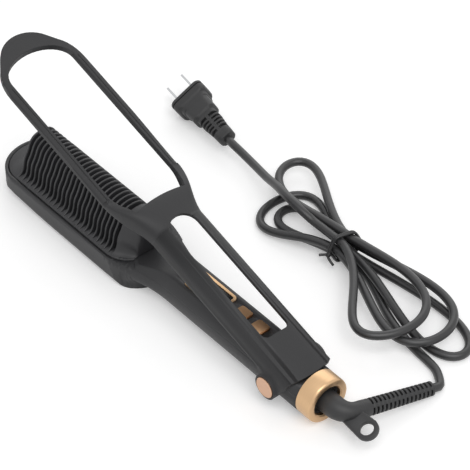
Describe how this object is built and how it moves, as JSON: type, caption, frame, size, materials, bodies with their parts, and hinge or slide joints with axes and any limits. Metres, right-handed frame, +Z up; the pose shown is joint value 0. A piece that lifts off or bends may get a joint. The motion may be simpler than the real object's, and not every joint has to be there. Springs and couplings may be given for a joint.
{
  "type": "hot comb",
  "caption": "Heated hair comb with a finned head, a spring-opened looped clamp arm, deck buttons with a display, and a swivel cord tied in a hank with its two-blade plug.",
  "frame": {"origin": "under the middle of the tool, half way from the tail ring to the tip of the comb head, on the surface that the tool lies on", "axes": "+X runs from the cord end to the tip of the comb, +Z is up, and +Y is to the left of someone who looks from the cord end to the tip"},
  "size_m": [0.3258, 0.1633, 0.1073],
  "materials": {
    "body_plastic": "fine satin moulding, charcoal",
    "tray_plastic": "satin moulding, dark grey",
    "fin_coating": "heat-proof satin coating, near black",
    "arm_plastic": "fine satin moulding, charcoal",
    "gold_metal": "satin rose gold",
    "gold_button": "satin rose gold, darker in its recess",
    "black_gloss": "polished black window",
    "black_plastic": "plain black moulding",
    "steel": "bright wire and sheet",
    "blade_metal": "bright plated strip",
    "brass": "plain",
    "ceramic": "white ceramic plate",
    "mica": "brown mica sheet",
    "board": "green circuit board",
    "cord_jacket": "satin cord jacket",
    "plug_plastic": "satin overmoulding",
    "relief_plastic": "satin overmoulding"
  },
  "bodies": {
    "handle": {"lower_shell": "body_plastic", "upper_shell": "body_plastic", "comb_tray": "tray_plastic", "fin_block": "fin_coating", "heater_plate": "ceramic", "heater_bracket": "steel", "mica_sheet": "mica", "thermistor": "brass", "thermal_fuse": "steel", "control_board": "board", "tact_switches": "black_plastic", "display_module": "black_plastic", "display_lens": "black_gloss", "display_frame": "gold_metal", "tail_ring": "gold_metal", "swivel_socket": "black_plastic", "brush_contacts": "brass", "hinge_axle": "steel", "return_spring": "steel", "housing_screws": "steel"},
    "clamp_arm": {"clamp_arm": "arm_plastic", "pivot_caps": "gold_metal"},
    "power_button": {"power_button": "gold_button"},
    "temperature_button": {"temperature_button": "gold_button"},
    "cord_swivel": {"swivel_core": "black_plastic", "slip_rings": "brass", "strain_relief": "relief_plastic", "cord_lead": "cord_jacket", "cord_hank": "cord_jacket", "cord_tail": "cord_jacket", "hank_tie": "black_plastic", "plug_body": "plug_plastic", "plug_blades": "blade_metal"}
  },
  "joints": [
    {"name": "clamp_hinge", "type": "hinge", "parent": "handle", "child": "clamp_arm", "pos_m": [-0.113, 0, 0.015], "axis": [0, 1, 0], "range_deg": [0, 17], "stiffness_Nm_per_rad": 0.15, "springref_deg": -34.38, "deforming": ["return_spring"]},
    {"name": "power_press", "type": "slide", "parent": "handle", "child": "power_button", "axis": [0, 0, -1], "range_m": [0, 0.0008], "stiffness_N_per_m": 300, "springref_m": -0.001},
    {"name": "temperature_press", "type": "slide", "parent": "handle", "child": "temperature_button", "axis": [0, 0, -1], "range_m": [0, 0.0008], "stiffness_N_per_m": 300, "springref_m": -0.001},
    {"name": "cord_turn", "type": "hinge", "parent": "handle", "child": "cord_swivel", "pos_m": [-0.14, 0, 0.015], "axis": [1, 0, 0], "continuous": true}
  ]
}
